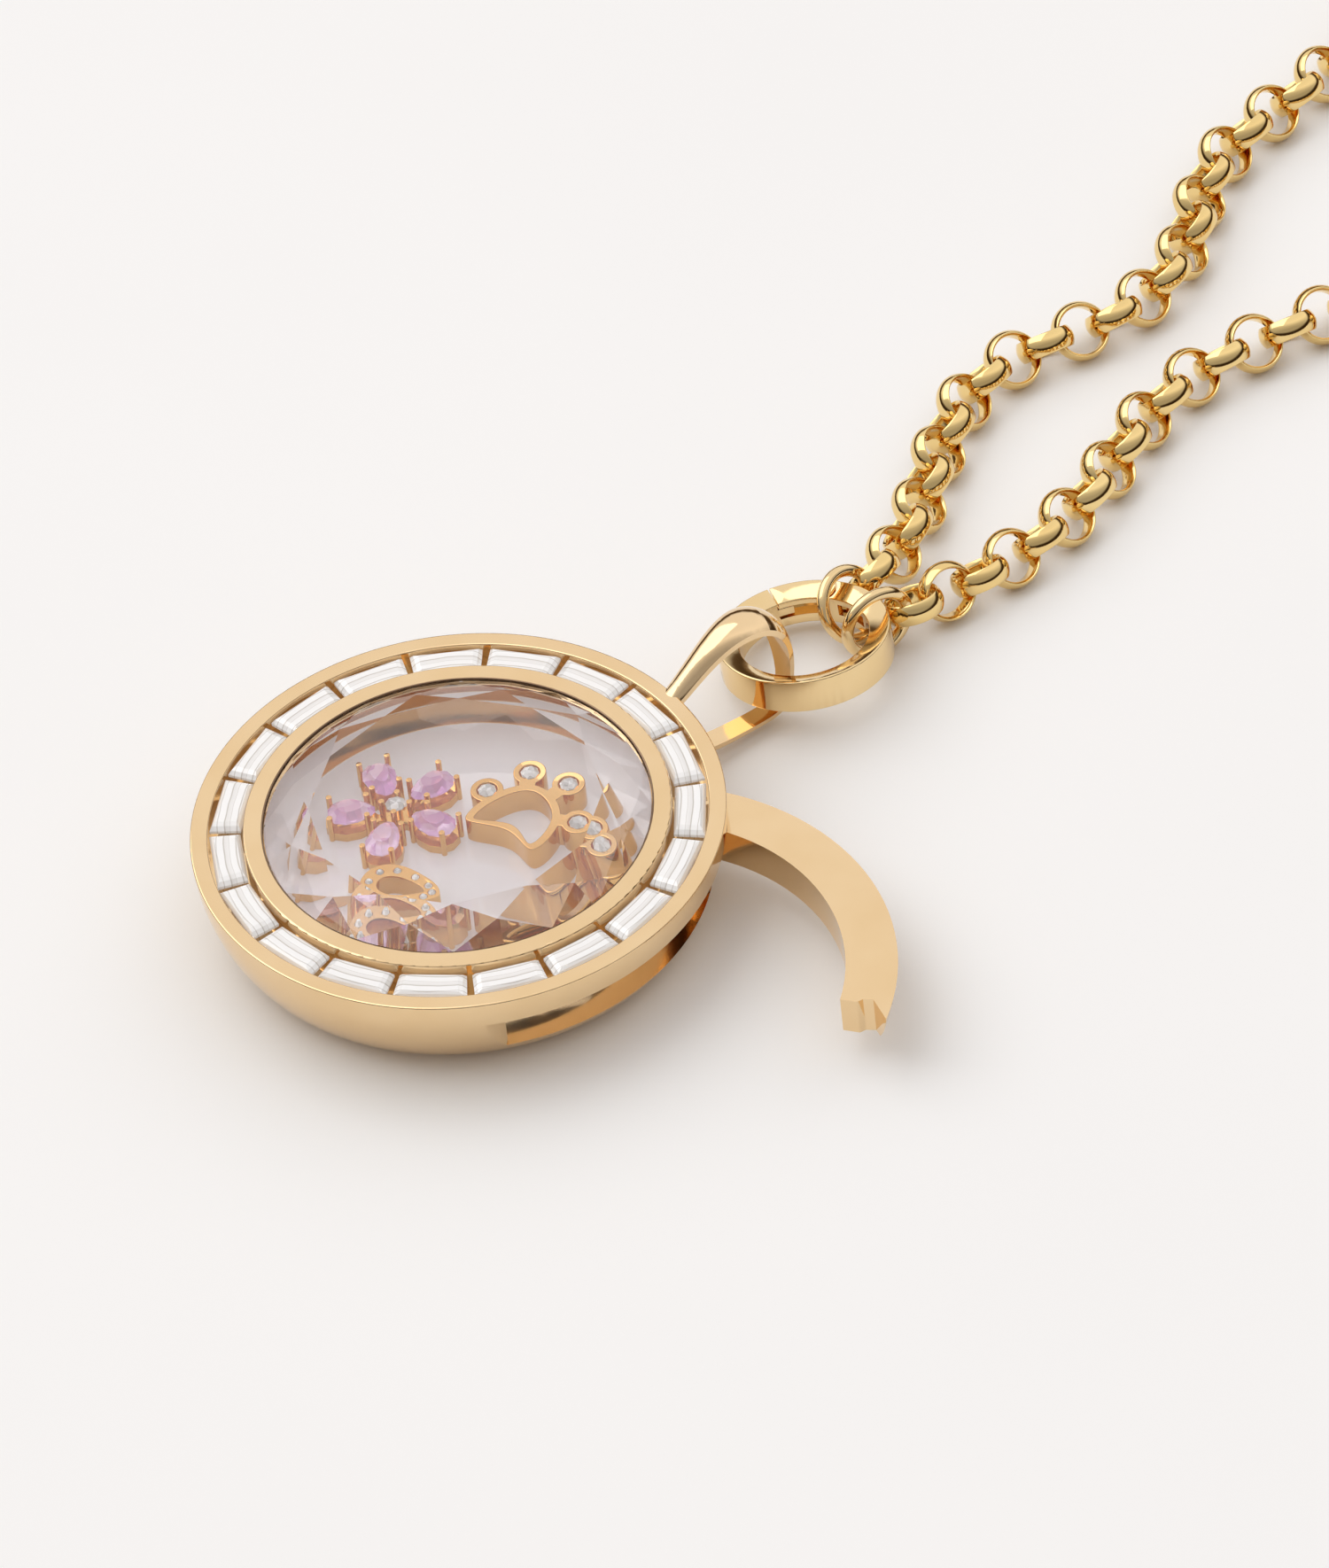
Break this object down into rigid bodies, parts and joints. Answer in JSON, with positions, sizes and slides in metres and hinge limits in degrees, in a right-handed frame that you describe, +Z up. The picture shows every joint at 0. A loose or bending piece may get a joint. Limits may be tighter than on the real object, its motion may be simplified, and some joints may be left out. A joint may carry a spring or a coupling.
{
  "type": "floating locket",
  "caption": "Round glass locket with a swing-open side gate, step-cut stones in its rim and loose charms inside, on a belcher chain with a hinged clasp ring.",
  "frame": {"origin": "on the surface that the locket lies on, under the centre of its case", "axes": "+Z up through the front crystal, +Y from the case towards the bail and along the chain"},
  "size_m": [0.086, 0.193, 0.0074],
  "materials": {
    "gold": "polished",
    "crystal": "clear, faceted",
    "diamond": "clear, cut",
    "pink_stone": "clear, cut"
  },
  "bodies": {
    "locket": {"case": "gold", "clasp_ring": "gold", "jump_ring_left": "gold", "jump_ring_right": "gold", "chain_left": "gold", "chain_right": "gold", "flower_setting": "gold", "paw_charm": "gold", "drop_charm": "gold", "front_crystal": "crystal", "back_crystal": "crystal", "baguette_01": "diamond", "baguette_02": "diamond", "baguette_03": "diamond", "baguette_04": "diamond", "baguette_05": "diamond", "baguette_06": "diamond", "baguette_07": "diamond", "baguette_08": "diamond", "baguette_09": "diamond", "baguette_10": "diamond", "baguette_11": "diamond", "baguette_12": "diamond", "baguette_13": "diamond", "baguette_14": "diamond", "baguette_15": "diamond", "baguette_16": "diamond", "baguette_17": "diamond", "baguette_18": "diamond", "baguette_19": "diamond", "paw_stone_1": "diamond", "paw_stone_2": "diamond", "paw_stone_3": "diamond", "paw_stone_4": "diamond", "drop_stones": "diamond", "flower_petal_1": "pink_stone", "flower_petal_2": "pink_stone", "flower_petal_3": "pink_stone", "flower_petal_4": "pink_stone", "flower_petal_5": "pink_stone", "flower_centre": "diamond"},
    "gate": {"case_gate": "gold"},
    "ring_gate": {"clasp_gate": "gold"}
  },
  "joints": [
    {"name": "gate_hinge", "type": "hinge", "parent": "locket", "child": "gate", "pos_m": [0.00583, 0.00953, 0.0027], "axis": [0, 0, 1], "range_deg": [-66.3, 5]},
    {"name": "ring_gate_hinge", "type": "hinge", "parent": "locket", "child": "ring_gate", "pos_m": [-0.00328, 0.02389, 0.00072], "axis": [-0.1455, 0.0262, 0.989], "range_deg": [-35, 0]}
  ]
}
